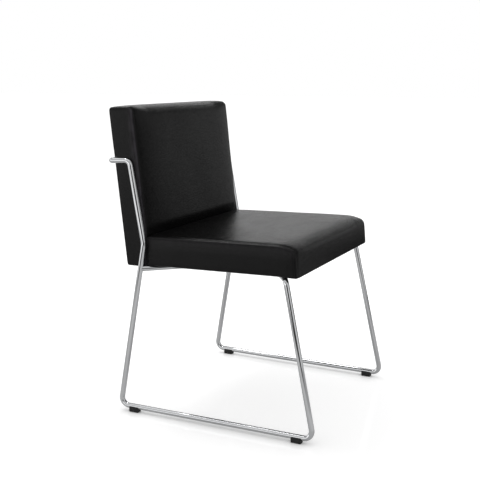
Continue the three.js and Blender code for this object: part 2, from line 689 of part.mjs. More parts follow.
// A T-nut along y: its flange's outer face at y = 0 and its barrel below.
function nutSolid() {
  const barrel = nut.barrel / 2;
  const flange = nut.flange / 2;
  const foot = -nut.flangeThickness - nut.barrelLength;
  const profile = [
    [screwHole, foot], [barrel, foot], [barrel, -nut.flangeThickness], [flange, -nut.flangeThickness],
    [flange, 0], [screwHole, 0], [screwHole, foot]];
  return new THREE.LatheGeometry(profile.map(([x, y]) => new THREE.Vector2(x, y)), smallSides);
}

function addFasteners() {
  const upright = new THREE.Euler(Math.PI / 2, 0, 0);
  const forwards = new THREE.Euler(Math.PI, 0, 0);
  const washerFoot = barBottom - fit.touch - washer.thickness;
  const headTop = washerFoot - fit.touch;
  for (const spot of seatScrews) {
    const at = (z) => new THREE.Vector3(spot.x, spot.y, z);
    const seatScrew = screwSolid(boardTop - fit.touch - headTop);
    addPiece(seatGroup, `seat_screw_${spot.name}`, seatScrew, material.zinc, at(headTop), upright);
    addPiece(seatGroup, `seat_washer_${spot.name}`, washerSolid(), material.zinc, at(washerFoot), upright);
    addPiece(seatGroup, `seat_nut_${spot.name}`, nutSolid(), material.zinc, at(boardTop), upright);
  }
  const tabHeadFront = tabFront + tab.thickness + fit.touch;
  const bracketHeadTop = bracketTop - bracket.thickness - fit.touch;
  for (const side of sides) {
    const tabX = (side.sign * tab.spacing) / 2;
    const tabScrew = screwSolid(tabHeadFront - boardFront - fit.touch);
    const tabPlace = new THREE.Vector3(tabX, tabHeadFront, tabScrewUp);
    addPiece(backGroup, `back_screw_${side.name}`, tabScrew, material.zinc, tabPlace, forwards);
    const nutPlace = new THREE.Vector3(tabX, boardFront, tabScrewUp);
    addPiece(backGroup, `back_nut_${side.name}`, nutSolid(), material.zinc, nutPlace, forwards);
    const footScrew = screwSolid(backFoot - bracketHeadTop + woodScrew.bite);
    const footPlace = new THREE.Vector3(side.sign * bracketPlace, bracketScrewPlace, bracketHeadTop);
    addPiece(seatGroup, `bracket_screw_${side.name}`, footScrew, material.zinc, footPlace, upright);
  }
}

addFrame();
addSeatBars();
addBackBrackets();
addBackTabs();
addGlides();
addSeatCushion();
addBackCushion();
addBackFoot();
addFasteners();

export default chair;
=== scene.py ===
# Sled base visitor chair: black leather seat and back on a frame of bent chrome rod.
# Metres, +Z up, the front towards -Y, the sitter's right at -X.
import bpy
import bmesh
import json
import math
from mathutils import Matrix, Vector, noise


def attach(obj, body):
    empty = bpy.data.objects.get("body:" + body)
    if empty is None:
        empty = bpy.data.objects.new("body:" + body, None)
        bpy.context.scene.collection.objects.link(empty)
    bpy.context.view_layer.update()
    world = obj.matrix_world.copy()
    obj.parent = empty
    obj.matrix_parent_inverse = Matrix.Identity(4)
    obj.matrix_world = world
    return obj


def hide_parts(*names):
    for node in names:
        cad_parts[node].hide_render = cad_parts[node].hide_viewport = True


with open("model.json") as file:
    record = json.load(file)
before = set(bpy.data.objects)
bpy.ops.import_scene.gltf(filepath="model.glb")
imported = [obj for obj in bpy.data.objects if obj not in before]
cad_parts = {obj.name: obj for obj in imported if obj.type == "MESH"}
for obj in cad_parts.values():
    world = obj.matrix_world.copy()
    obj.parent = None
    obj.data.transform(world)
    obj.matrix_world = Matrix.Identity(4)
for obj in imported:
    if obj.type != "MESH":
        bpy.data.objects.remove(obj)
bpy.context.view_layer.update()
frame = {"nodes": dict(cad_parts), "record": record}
nodes = frame["nodes"]
scene = bpy.context.scene
print("frame loaded,", len(nodes), "nodes")

# camera

cameraSettings = {
    "place": (-2.1215, -1.0064, 0.8843),
    "turn": (79.2252, 0.0, -63.6656),    # degrees
    "lens": 65.25,
    "reach": 60,               # how far it sees
}


def makeCamera():
    data = bpy.data.cameras.new("photoCamera")
    data.lens = cameraSettings["lens"]
    data.clip_end = cameraSettings["reach"]
    camera = bpy.data.objects.new("photoCamera", data)
    camera.location = cameraSettings["place"]
    camera.rotation_euler = [math.radians(turn) for turn in cameraSettings["turn"]]
    scene.collection.objects.link(camera)
    scene.camera = camera


makeCamera()
print("camera placed")

# node trees


class Wire:
    # one output socket, with the arithmetic that shaders use
    def __init__(self, tree, node, output=0):
        self.tree, self.node = tree, node
        self.socket = node.outputs[output]

    def out(self, name):
        return Wire(self.tree, self.node, name)

    def __add__(self, other):
        return self.tree.maths("ADD", self, other)

    def __radd__(self, other):
        return self.tree.maths("ADD", other, self)

    def __sub__(self, other):
        return self.tree.maths("SUBTRACT", self, other)

    def __rsub__(self, other):
        return self.tree.maths("SUBTRACT", other, self)

    def __mul__(self, other):
        return self.tree.maths("MULTIPLY", self, other)

    def __rmul__(self, other):
        return self.tree.maths("MULTIPLY", other, self)

    def __pow__(self, other):
        return self.tree.maths("POWER", self, other)

    def above(self, low, high):
        # 0 below low, 1 above high, soft between
        return self.tree.add("ShaderNodeMapRange", {"interpolation_type": "SMOOTHSTEP"},
                             {"Value": self, "From Min": low, "From Max": high})


class Tree:
    def __init__(self, nodeTree):
        self.nodeTree = nodeTree
        nodeTree.nodes.clear()

    def add(self, kind, settings=None, inputs=None, output=0):
        node = self.nodeTree.nodes.new(kind)
        for name, value in (settings or {}).items():
            setattr(node, name, value)
        for name, value in (inputs or {}).items():
            if isinstance(value, Wire):
                self.nodeTree.links.new(value.socket, node.inputs[name])
            else:
                node.inputs[name].default_value = value
        return Wire(self, node, output) if node.outputs else None

    def maths(self, operation, first, second=0):
        return self.add("ShaderNodeMath", {"operation": operation}, {0: first, 1: second})

    def mix(self, factor, first, second):
        # a mix node's colours are its inputs 6 and 7 and its output 2
        return self.add("ShaderNodeMix", {"data_type": "RGBA"}, {0: factor, 6: first, 7: second}, 2)


def grey(level):
    return (level, level, level, 1)


def newMaterial(name, build):
    material = bpy.data.materials.new(name)
    material.use_nodes = True
    tree = Tree(material.node_tree)
    shader = build(tree)
    tree.add("ShaderNodeOutputMaterial", None, {"Surface": shader})
    return material


def objectCoordinates(tree, turn=0, stretch=(1, 1, 1)):
    place = tree.add("ShaderNodeTexCoord", None, None, "Object")
    if turn == 0 and stretch == (1, 1, 1):
        return place
    return tree.add("ShaderNodeMapping", None, {
        "Vector": place, "Rotation": (0, 0, math.radians(turn)), "Scale": stretch})


def cloud(tree, place, scale, detail=2.0, roughness=0.5):
    return tree.add("ShaderNodeTexNoise", None, {
        "Vector": place, "Scale": scale, "Detail": detail, "Roughness": roughness})


def bump(tree, height, distance, strength, below=None):
    inputs = {"Height": height, "Distance": distance, "Strength": strength}
    if below is not None:
        inputs["Normal"] = below
    return tree.add("ShaderNodeBump", None, inputs)


# finishes: the scales of their patterns are in cells to the metre, and depths are in metres

chromeLook = {
    "colour": (0.86, 0.87, 0.885, 1),
    "roughness": 0.03,
    "smear": 38,
    "smearRoughness": 0.03,    # how much rougher where it has been touched
    "wave": 60,
    "waveDepth": 0.00004,
}


def buildChrome(tree):
    look = chromeLook
    place = objectCoordinates(tree)
    smear = cloud(tree, place, look["smear"], 3, 0.6).above(0.45, 0.75)
    wave = cloud(tree, place, look["wave"], 1)
    return tree.add("ShaderNodeBsdfPrincipled", None, {
        "Base Color": look["colour"], "Metallic": 1.0,
        "Roughness": look["roughness"] + smear * look["smearRoughness"],
        "Normal": bump(tree, wave, look["waveDepth"], 0.5)})


leatherLook = {
    "colour": (0.0014, 0.0013, 0.0014, 1),
    "worn": (0.0023, 0.0022, 0.0023, 1),
    "drift": 9,                # pattern of the worn parts
    "paintedSheen": (0.040, 0.0365, 0.042, 1),    # painted sheen: a pale colour on the side panels along their seams, standing in for the light that those edges catch
    "sheenEvenly": 0.45,      # share of the painted sheen that lies outside the creases too
    "specular": 0.24,
    "roughness": 0.23,
    "roughnessSpread": 0.08,
    "grooveRoughness": 0.08,   # how much rougher between the pebbles
    "pebble": 760,
    "pebbleShare": 0.8,        # the rest of the grain is pores
    "wander": 240,
    "wanderDepth": 0.0011,     # how far the pebbles' edges wander
    "pore": 2100,
    "grainDepth": 0.00017,
    "crease": 34,
    "creaseDepth": 0.0011,
    "creaseTurn": 24,          # degrees
    "creaseStretch": (1, 2.6, 1),
}


def buildLeather(tree):
    look = leatherLook
    place = objectCoordinates(tree)
    drift = cloud(tree, place, look["drift"], 3)
    wander = tree.add("ShaderNodeVectorMath", {"operation": "MULTIPLY_ADD"}, {
        0: cloud(tree, place, look["wander"], 2).out("Color"), 1: [look["wanderDepth"]] * 3, 2: place})
    cells = tree.add("ShaderNodeTexVoronoi", {"feature": "DISTANCE_TO_EDGE"}, {
        "Vector": wander, "Scale": look["pebble"], "Randomness": 0.9})
    pebbles = cells.above(0.02, 0.32)
    pores = cloud(tree, place, look["pore"], 2)
    creases = cloud(tree, objectCoordinates(tree, look["creaseTurn"], look["creaseStretch"]),
                    look["crease"], 4, 0.55)
    grain = pebbles * look["pebbleShare"] + pores * (1 - look["pebbleShare"])
    normal = bump(tree, creases, look["creaseDepth"], 0.35)
    normal = bump(tree, grain, look["grainDepth"], 0.55, normal)
    roughness = (look["roughness"] + (drift - 0.5) * look["roughnessSpread"]
                 + (1 - pebbles) * look["grooveRoughness"])
    colour = tree.mix(drift.above(0.4, 0.7), look["colour"], look["worn"])
    # painted sheen: the side panels' seam edges are made pale in the colour, patchy along the creases,
    # where they catch the light
    paintedSheenBand = tree.add("ShaderNodeAttribute", {"attribute_name": "paintedSheenBand"}, None, "Fac")
    paintedSheenBand *= look["sheenEvenly"] + (1 - look["sheenEvenly"]) * creases.above(0.35, 0.6)
    colour = tree.mix(paintedSheenBand, colour, look["paintedSheen"])
    return tree.add("ShaderNodeBsdfPrincipled", None, {
        "Base Color": colour, "Roughness": roughness, "Normal": normal,
        "Specular IOR Level": look["specular"]})


plasticLook = {
    "colour": (0.009, 0.009, 0.0095, 1),
    "scuffed": grey(0.022),
    "roughness": 0.5,
    "scuffRoughness": 0.15,    # how much rougher where it is scuffed
    "scuff": 120,
    "spark": 1500,
    "sparkDepth": 0.00012,
}


def buildPlastic(tree):
    look = plasticLook
    place = objectCoordinates(tree)
    spark = cloud(tree, place, look["spark"], 2)
    scuff = cloud(tree, place, look["scuff"], 4, 0.65).above(0.55, 0.8)
    return tree.add("ShaderNodeBsdfPrincipled", None, {
        "Base Color": tree.mix(scuff, look["colour"], look["scuffed"]),
        "Roughness": look["roughness"] + scuff * look["scuffRoughness"],
        "Normal": bump(tree, spark, look["sparkDepth"], 0.5)})


linerLook = {
    "dark": grey(0.011),
    "pale": grey(0.026),
    "roughness": 0.92,
    "specular": 0.2,
    "fibre": 420,
    "fibreTurns": (35, -50),   # degrees
    "fibreStretch": (1, 7, 1),
    "dot": 520,
    "depth": 0.0003,
}


def buildLiner(tree):
    # black spunbonded dust cloth: laid fibres, pressed with a grid of dots
    look = linerLook
    along, across = (
        cloud(tree, objectCoordinates(tree, turn, look["fibreStretch"]), look["fibre"], 3, 0.6)
        for turn in look["fibreTurns"])
    dots = tree.add("ShaderNodeTexVoronoi", None, {
        "Vector": objectCoordinates(tree), "Scale": look["dot"], "Randomness": 0.0}).above(0.18, 0.34)
    height = (along + across) * 0.5 * dots
    return tree.add("ShaderNodeBsdfPrincipled", None, {
        "Base Color": tree.mix(along.above(0.35, 0.7), look["dark"], look["pale"]),
        "Roughness": look["roughness"], "Specular IOR Level": look["specular"],
        "Normal": bump(tree, height, look["depth"], 0.7)})


plywoodLook = {
    "dark": (0.50, 0.32, 0.17, 1),
    "pale": (0.66, 0.47, 0.28, 1),
    "roughness": 0.62,
    "poreRoughness": 0.2,
    "ring": 16,
    "ringStretch": (1, 9, 9),
    "pore": 60,
    "poreStretch": (1, 22, 22),
    "poreDepth": 0.0002,
}


def buildPlywood(tree):
    look = plywoodLook
    rings = cloud(tree, objectCoordinates(tree, 0, look["ringStretch"]), look["ring"], 5, 0.62)
    pores = cloud(tree, objectCoordinates(tree, 0, look["poreStretch"]), look["pore"], 2)
    return tree.add("ShaderNodeBsdfPrincipled", None, {
        "Base Color": tree.mix(rings.above(0.32, 0.68), look["dark"], look["pale"]),
        "Roughness": look["roughness"] + pores * look["poreRoughness"],
        "Normal": bump(tree, pores, look["poreDepth"], 0.6)})


foamLook = {
    "edges": (0.45, 0.36, 0.17, 1),
    "cells": (0.72, 0.60, 0.32, 1),
    "roughness": 0.95,
    "cell": 900,
    "depth": 0.0005,
}


def buildFoam(tree):
    look = foamLook
    cells = tree.add("ShaderNodeTexVoronoi", {"feature": "DISTANCE_TO_EDGE"}, {
        "Vector": objectCoordinates(tree), "Scale": look["cell"]})
    return tree.add("ShaderNodeBsdfPrincipled", None, {
        "Base Color": tree.mix(cells.above(0.0, 0.2), look["edges"], look["cells"]),
        "Roughness": look["roughness"], "Normal": bump(tree, cells, look["depth"], 0.8)})


zincLook = {
    "dark": (0.50, 0.52, 0.55, 1),
    "pale": (0.60, 0.62, 0.64, 1),
    "roughness": 0.26,
    "roughnessSpread": 0.12,
    "spangle": 700,
    "fleck": 900,
    "fleckDepth": 0.00008,
}


def buildZinc(tree):
    look = zincLook
    place = objectCoordinates(tree)
    spangle = tree.add("ShaderNodeTexVoronoi", None, {
        "Vector": place, "Scale": look["spangle"]}, "Color")
    tone = tree.add("ShaderNodeSeparateColor", None, {"Color": spangle})
    return tree.add("ShaderNodeBsdfPrincipled", None, {
        "Base Color": tree.mix(tone, look["dark"], look["pale"]), "Metallic": 1.0,
        "Roughness": look["roughness"] + tone * look["roughnessSpread"],
        "Normal": bump(tree, cloud(tree, place, look["fleck"], 2), look["fleckDepth"], 0.5)})


finishes = {
    "chrome": newMaterial("chrome", buildChrome),
    "leather": newMaterial("blackLeather", buildLeather),
    "plastic": newMaterial("blackPlastic", buildPlastic),
    "liner": newMaterial("dustCloth", buildLiner),
    "plywood": newMaterial("plywood", buildPlywood),
    "foam": newMaterial("foam", buildFoam),
    "zinc": newMaterial("zinc", buildZinc),
}
for subpart in frame["record"]["subparts"]:
    cadMesh = nodes[subpart["node"]].data
    cadMesh.materials.clear()
    cadMesh.materials.append(finishes[subpart["material_slot"]])
print("finishes made")

# places that the pieces share, the same as in the frame

seatPlace = {
    "front": -0.2366,          # front edge of the seat's underside
    "height": 0.409,
    "pitch": math.radians(1.24),
    "width": 0.523,
    "depth": 0.4191,
    "thickness": 0.0766,
}
backPlace = {
    "width": 0.523,
    "thickness": 0.0698,
    "height": 0.4153,
    "rearRise": 0.002,
    "lean": math.radians(6.4),
    "squareFoot": 0.092,       # the foot stands square against the seat up to here
    "foot": -0.0043,           # its level in the seat's own frame
    "seatGap": 0.0005,
}
relativeLean = backPlace["lean"] - seatPlace["pitch"]
backStart = (seatPlace["depth"] + backPlace["seatGap"]
             - backPlace["squareFoot"] * math.sin(relativeLean))

# in the seat's frame y runs rearwards along its underside, in the back's frame z runs up its front
seatFrame = (Matrix.Translation((0, seatPlace["front"], seatPlace["height"]))
             @ Matrix.Rotation(-seatPlace["pitch"], 4, "X"))
backFrame = (Matrix.Translation(seatFrame @ Vector((0, backStart, backPlace["foot"])))
             @ Matrix.Rotation(-backPlace["lean"], 4, "X"))


def finishPiece(name, bm, finish, stands, sharpAngle=35):
    mesh = bpy.data.meshes.new(name)
    bmesh.ops.recalc_face_normals(bm, faces=bm.faces)
    if bm.calc_volume(signed=True) < 0:
        bmesh.ops.reverse_faces(bm, faces=bm.faces)
    for face in bm.faces:
        face.smooth = True
    for edge in bm.edges:
        if edge.is_manifold and edge.calc_face_angle() > math.radians(sharpAngle):
            edge.smooth = False
    bm.to_mesh(mesh)
    bm.free()
    piece = bpy.data.objects.new(name, mesh)
    scene.collection.objects.link(piece)
    mesh.materials.append(finishes[finish])
    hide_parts(*stands)
    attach(piece, "root")
    return piece


# frame of bent rod, one run from the right rail's end, round both sides, to the left rail's end

rodSettings = {
    "radius": 0.007,
    "sides": 32,
    "runnerBend": 0.020,
    "kneeBend": 0.050,
    "stubBend": 0.015,
    "crossBend": 0.012,
    "legTopBend": 0.015,
    "railBend": 0.024,
    "bendStep": math.radians(5),
    "fewestSteps": 3,          # in one bend
}
legSettings = {
    "upright": 0.2693,         # middle of the upright, from the middle of the chair
    "runnerLevel": 0.0146,
    "rearFootOut": 0.007,
    "frontFootIn": 0.0006,
    "frontLean": 0.0142,
    "rearRake": 0.0771,
    "frontRake": 0.083,
    "topSetback": 0.0324,
    "kneeBehind": 0.0044,
    "kneeUp": 0.0606,
    "stubBehind": 0.018,
    "stubUp": 0.2778,
    "stubRise": 0.0045,
    "crossBehind": 0.0771,
    "rail": 0.2003,            # middle of a rail, from the middle of the chair
    "railLevel": -0.0081,      # in the seat's frame
    "frontTurn": math.radians(55),
    "rearTurn": math.radians(39),
    "railEnd": 0.0015,         # the rail ends this far before the middle of the rear leg
}


def sideCorners(sign):
    leg = legSettings
    upright = sign * leg["upright"]
    cross = backFrame @ Vector((upright, leg["crossBehind"], leg["stubUp"] + leg["stubRise"]))
    stub = backFrame @ Vector((upright, leg["stubBehind"], leg["stubUp"]))
    knee = backFrame @ Vector((upright, leg["kneeBehind"], leg["kneeUp"]))
    rearFoot = Vector((upright + sign * leg["rearFootOut"], knee.y + leg["rearRake"],
                       leg["runnerLevel"]))
    footX = leg["upright"] - leg["frontFootIn"]
    legTop = seatFrame @ Vector((sign * (footX - leg["frontLean"]), leg["topSetback"],
                                 leg["railLevel"]))
    frontFoot = Vector((sign * footX, legTop.y - leg["frontRake"], leg["runnerLevel"]))
    # the rail, in the seat's frame
    toSeat = seatFrame.inverted()
    kneeIn, footIn, topIn = toSeat @ knee, toSeat @ rearFoot, toSeat @ legTop
    meet = kneeIn.lerp(footIn, (kneeIn.z - leg["railLevel"]) / (kneeIn.z - footIn.z))
    frontRun = (abs(topIn.x) - leg["rail"]) / math.tan(leg["frontTurn"])
    rearRun = (abs(meet.x) - leg["rail"]) / math.tan(leg["rearTurn"])
    inner = Vector((sign * leg["rail"], topIn.y + frontRun, leg["railLevel"]))
    outer = Vector((sign * leg["rail"], meet.y - rearRun, leg["railLevel"]))
    end = meet + (outer - meet).normalized() * leg["railEnd"]
    return [seatFrame @ end, seatFrame @ outer, seatFrame @ inner,
            legTop, frontFoot, rearFoot, knee, stub, cross]


def bentRod(bm, corners, bends):
    rod = rodSettings
    heading = (corners[1] - corners[0]).normalized()
    start = Matrix.Translation(corners[0]) @ heading.to_track_quat("Z", "Y").to_matrix().to_4x4()
    made = bmesh.ops.create_circle(bm, cap_ends=True, segments=rod["sides"], radius=rod["radius"],
                                   matrix=start)
    tip = made["verts"][0].link_faces[0]
    for i, bend in enumerate(bends, 1):
        arrive = (corners[i] - corners[i - 1]).normalized()
        leave = (corners[i + 1] - corners[i]).normalized()
        turn = arrive.angle(leave)
        shoulder = corners[i] - arrive * bend * math.tan(turn / 2)
        tip = straightRun(bm, tip, shoulder - tip.calc_center_median())
        inward = (leave - arrive).normalized()
        middle = corners[i] + inward * bend / math.cos(turn / 2)
        steps = max(rod["fewestSteps"], math.ceil(turn / rod["bendStep"]))
        turned = bmesh.ops.spin(bm, geom=[tip, *tip.verts, *tip.edges], cent=middle,
                                axis=arrive.cross(leave).normalized(), angle=turn, steps=steps)
        tip = next(item for item in turned["geom_last"] if isinstance(item, bmesh.types.BMFace))
    straightRun(bm, tip, corners[-1] - tip.calc_center_median())


def straightRun(bm, tip, along):
    made = bmesh.ops.extrude_face_region(bm, geom=[tip])
    moved = [item for item in made["geom"] if isinstance(item, bmesh.types.BMVert)]
    bmesh.ops.translate(bm, verts=moved, vec=along)
    return next(item for item in made["geom"] if isinstance(item, bmesh.types.BMFace))


def makeFrame():
    right, left = sideCorners(-1), sideCorners(1)
    names = ["railBend", "railBend", "legTopBend", "runnerBend", "runnerBend",
             "kneeBend", "stubBend", "crossBend"]
    bends = [rodSettings[name] for name in names]
    bm = bmesh.new()
    bentRod(bm, right + left[::-1], bends + bends[::-1])
    # each spin leaves the face that it started from inside the rod
    inside = [face for face in bm.faces if all(len(edge.link_faces) > 2 for edge in face.edges)]
    bmesh.ops.delete(bm, geom=inside, context="FACES_ONLY")
    finishPiece("chromeFrame", bm, "chrome", [
        "side_rod_right", "side_rod_left", "back_cross_rod", "seat_rail_right", "seat_rail_left"])


makeFrame()
print("frame bent")

# upholstery: each cushion is a box of mesh lines, close together at its edges, that is moved into shape

edgeLines = [0, 0.0007, 0.0014, 0.0021, 0.0028, 0.0035, 0.0042, 0.0049, 0.0056, 0.0063,
             0.0072, 0.0086, 0.0108]


def meshLines(length, step):
    inner = length - 2 * edgeLines[-1]
    count = max(2, round(inner / step))
    middle = [edgeLines[-1] + inner * i / count for i in range(1, count)]
    return edgeLines + middle + [length - offset for offset in reversed(edgeLines)]


def gridBox(size, step):
    # a cube cut by the mesh lines of its three directions
    lines = [meshLines(length, step) for length in size]
    lines[0] = [x - size[0] / 2 for x in lines[0]]
    bm = bmesh.new()
    bmesh.ops.create_cube(bm, size=1)
    bmesh.ops.translate(bm, verts=bm.verts, vec=(0.5, 0.5, 0.5))
    for axis in range(3):
        along = [edge for edge in bm.edges
                 if abs(edge.verts[0].co[axis] - edge.verts[1].co[axis]) > 0.5]
        bmesh.ops.subdivide_edges(bm, edges=along, cuts=len(lines[axis]) - 2, use_grid_fill=True)
    for vert in bm.verts:
        vert.co = [lines[axis][round(vert.co[axis] * (len(lines[axis]) - 1))] for axis in range(3)]
    return bm


def smooth(value, low, high):
    share = min(max((value - low) / (high - low), 0), 1)
    return share * share * (3 - 2 * share)


def bell(value, middle, width):
    return math.exp(-((value - middle) / width) ** 2)


def ripple(seed, *place):
    # noise from about -1 to 1, of which each seed shows another part
    return noise.noise(Vector(place) + Vector((seed, 2.7 * seed, 5.1 * seed)))


def roundSideEdge(co, size, reach, drops):
    # the box's end edges become a quarter round, reach wide on the outline and drop deep on the end face
    width, depth, height = size
    front, rear, lower, upper = drops
    out = (abs(co.x) - (width / 2 - reach)) / reach
    up = 1 - min(co.y / front, (depth - co.y) / rear, co.z / lower, (height - co.z) / upper)
    if out <= 0 or up <= 0:
        return
    share = max(out, up) / math.hypot(out, up)
    before, after = 1 - up, 1 - up * share
    co.x = math.copysign(width / 2 - reach + reach * out * share, co.x)
    co.y = front * after + (co.y - front * before) * (
        depth - (front + rear) * after) / (depth - (front + rear) * before)
    co.z = lower * after + (co.z - lower * before) * (
        height - (lower + upper) * after) / (height - (lower + upper) * before)


def roundLongEdge(co, size, corner, endLength):
    # one long edge becomes a quarter of an ellipse, of one size at its ends and another in its middle
    width, depth, height = size
    atRear, atTop, atEnds, inMiddle = corner
    share = smooth(width / 2 - abs(co.x), 0, endLength)
    along, down = (end + (middle - end) * share for end, middle in zip(atEnds, inMiddle))
    out = (along - (depth - co.y if atRear else co.y)) / along
    up = (down - (height - co.z if atTop else co.z)) / down
    if out <= 0 or up <= 0:
        return
    share = max(out, up) / math.hypot(out, up)
    y, z = along * (1 - out * share), down * (1 - up * share)
    co.y = depth - y if atRear else y
    co.z = height - z if atTop else z


sewingSettings = {
    "fromSide": 0.03,          # the relief ends this far in from a side
    "fromCorner": 0.05,
    "start": 0.008,            # height over which it grows
    "turnDown": 0.006,         # half the length over which the front's seam becomes the top's
    "grooveWidth": 0.0009,
    "valleyPlace": 0.0015,     # outside the bead
    "valleyWidth": 0.0022,
    "folds": (130, 22),        # puckers to the metre, along the seam and across it
    "fineFolds": (260, 40),
    "fineShare": 0.5,
    "gather": 14,              # how often to the metre the puckers come and go
    "gatherMean": 0.5,
    "gatherSpread": 1.3,
    "puckerFrom": (0.002, 0.006),    # distance from the seam over which the puckers grow
    "outlineShare": 0.35,      # puckers on the outline, against those on the side panel
    "outlineFade": 1.6,
    "panelEdge": 0.004,        # the side panel's painted sheen fades out this far inside its edge
}


def sewnRelief(box, size, sewing):
    # how far the cover lies in along its normal, near the seams between side panels and outline
    shared = sewingSettings
    width, depth, height = size
    fromSide = width / 2 - abs(box.x)
    toEdges = {"front": box.y, "rear": depth - box.y, "top": height - box.z}
    nearest = min(toEdges, key=toEdges.get)
    fromEdge = toEdges[nearest]
    if fromSide >= shared["fromSide"] or fromSide + fromEdge > shared["fromCorner"]:
        return 0
    past = fromEdge - fromSide         # below 0 on the outline, above 0 on the side panel
    sewn = smooth(box.z, sewing["from"], sewing["from"] + shared["start"])
    towardsTop = smooth(toEdges["front"] - toEdges["top"], -shared["turnDown"], shared["turnDown"])
    sewn *= sewing["atFront"] + (1 - sewing["atFront"]) * towardsTop
    relief = sewing["groove"] * bell(past, sewing["bead"], shared["grooveWidth"])
    valley = -sewing["bead"] - shared["valleyPlace"]
    relief += sewing["valley"] * bell(past, valley, shared["valleyWidth"])
    run = box.z if nearest != "top" else box.y
    seed = math.copysign(3, box.x)
    along, across = shared["folds"]
    fineAlong, fineAcross = shared["fineFolds"]
    fold = (ripple(seed, run * along, past * across, 0)
            + shared["fineShare"] * ripple(seed + 1, run * fineAlong, past * fineAcross, 0))
    gathered = ripple(seed + 2, run * shared["gather"], 0, 0)
    strength = max(0, shared["gatherMean"] + shared["gatherSpread"] * gathered)
    if past > 0:
        reach = smooth(past, *shared["puckerFrom"]) * math.exp(-past / sewing["puckerReach"])
    else:
        reach = shared["outlineShare"] * smooth(-past, *shared["puckerFrom"]) * math.exp(
            past / sewing["puckerReach"] * shared["outlineFade"])
    return (relief + sewing["pucker"] * fold * strength * reach) * sewn


def paintedSheenShare(box, size, paintedSheen):
    # how much pale sheen is painted on the side panels, from their front and top seams inwards
    half, height = size[0] / 2, size[2]
    panel = smooth(abs(box.x), half - sewingSettings["panelEdge"], half)
    atFront, atTop, reach = paintedSheen
    return panel * max(atFront * bell(box.y, 0, reach), atTop * bell(height - box.z, 0, reach))


def seamPull(box, size, pulls):
    # how far a side panel is pulled in by the seams at its front, its rear, its bottom and its top
    depth, height = size[1:]
    pulled = 0
    for gap, (deep, reach) in zip((box.y, depth - box.y, box.z, height - box.z), pulls):
        pulled += (deep * max(1 - gap / reach, 0) ** 1.4) ** 2
    return math.sqrt(pulled)


def pinchCorner(co, flat, size, settings):
    # the dimple where the upper front edge's seam turns down the front
    side = math.copysign(1, flat.x)
    corner = Vector((size[0] / 2 - abs(flat.x), flat.y, size[2] - flat.z))
    away = (corner - Vector(settings["dimplePlace"])).length
    pinch = settings["dimple"] * math.exp(-(away / settings["dimpleSize"]) ** 2)
    inwards, rearwards, up = settings["dimplePull"]
    co += Vector((-side * inwards, rearwards, up)) * pinch


def makeCushion(name, size, settings, shape, place, stands):
    bm = gridBox(size, settings["step"])
    boxes = [vert.co.copy() for vert in bm.verts]
    for vert in bm.verts:
        roundSideEdge(vert.co, size, settings["edgeReach"], settings["edgeDrops"])
        for corner in settings["corners"]:
            roundLongEdge(vert.co, size, corner, settings["endLength"])
    bm.normal_update()
    normals = [vert.normal.copy() for vert in bm.verts]
    # the share of pale sheen that the leather paints into its colour at each point
    paintedSheenBand = bm.verts.layers.float.new("paintedSheenBand")
    for vert, box, normal in zip(bm.verts, boxes, normals):
        flat = vert.co.copy()
        shape(vert.co, flat, box)
        vert.co -= normal * sewnRelief(box, size, settings["sewing"])
        vert[paintedSheenBand] = paintedSheenShare(box, size, settings["paintedSheen"])
    bm.transform(place)
    cushion = finishPiece(name, bm, "leather", stands, 180)


# In both cushions' settings edgeDrops and seamPulls go front, rear, bottom, top, and a pull is its depth
# and its reach. A corner is one long edge: whether it is at the rear, whether it is at the top, and its
# rounding along and down, first at its ends and then in its middle.

seatSettings = {
    "step": 0.0058,
    "fill": 0.9,
    "edgeReach": 0.004,
    "edgeDrops": (0.004, 0.002, 0.002, 0.0045),
    "endLength": 0.085,        # a corner's rounding changes over this length at each end
    "corners": [
        (False, True, (0.009, 0.008), (0.032, 0.015)),
        (True, True, (0.007, 0.007), (0.007, 0.007)),
        (False, False, (0.002, 0.002), (0.002, 0.002)),
        (True, False, (0.003, 0.003), (0.003, 0.003)),
    ],
    "browLength": 0.056,       # the top slopes down over this length to the front
    "browDrop": (0.0115, 0.005),    # at its ends and in its middle
    "browEnd": 0.07,           # length of such an end
    "browCurve": 1.75,
    "crown": 0.0045,
    "crownFrom": 0.0137,       # the level where it starts
    "setback": 0.0045,         # how far the front's top lies behind its bottom
    "setbackCurve": 1.2,
    "endSetback": (0.0022, 0.018),    # how far the front's ends lie back, and over what length
    "frontCrown": 0.0018,
    "frontSag": 0.0025,        # how far the front's lower edge hangs down
    "frontReach": 0.06,        # the front's own form fades out over this depth
    "edgeFall": 0.0018,        # the top falls off towards its side edges
    "edgeFallWidth": 0.02,
    "wave": 0.0006,
    "waveScale": 11,
    "waveFrom": (0.004, 0.05),    # distance from the front and the rear over which it grows
    "sideReach": 0.03,         # a side panel's own form fades out over this width
    "sideBulge": 0.0015,
    "clearOfRods": (0.03, 0.09),    # distance from the rear over which the bulge grows
    "seamPulls": [(0.003, 0.03), (0.0008, 0.02), (0.0008, 0.012), (0.0046, 0.032)],
    "rearFold": 0.004,         # the side panels run on beside the back
    "foldLength": 0.03,
    "dimple": 0.0024,
    "dimplePlace": (0.001, 0.003, 0.0045),    # from the side, the front and the top
    "dimpleSize": 0.0042,
    "dimplePull": (0.7, 0.6, -0.4),    # inwards, rearwards and up
    "paintedSheen": (0, 0.2, 0.016),    # painted sheen at the front and the top, and how far in
    "sewing": {"from": 0.002, "atFront": 0.35, "bead": 0.0056, "groove": 0.0011, "valley": 0.0009,
               "pucker": 0.0009, "puckerReach": 0.012},
}
seatSize = (seatPlace["width"], seatPlace["depth"], seatPlace["thickness"])


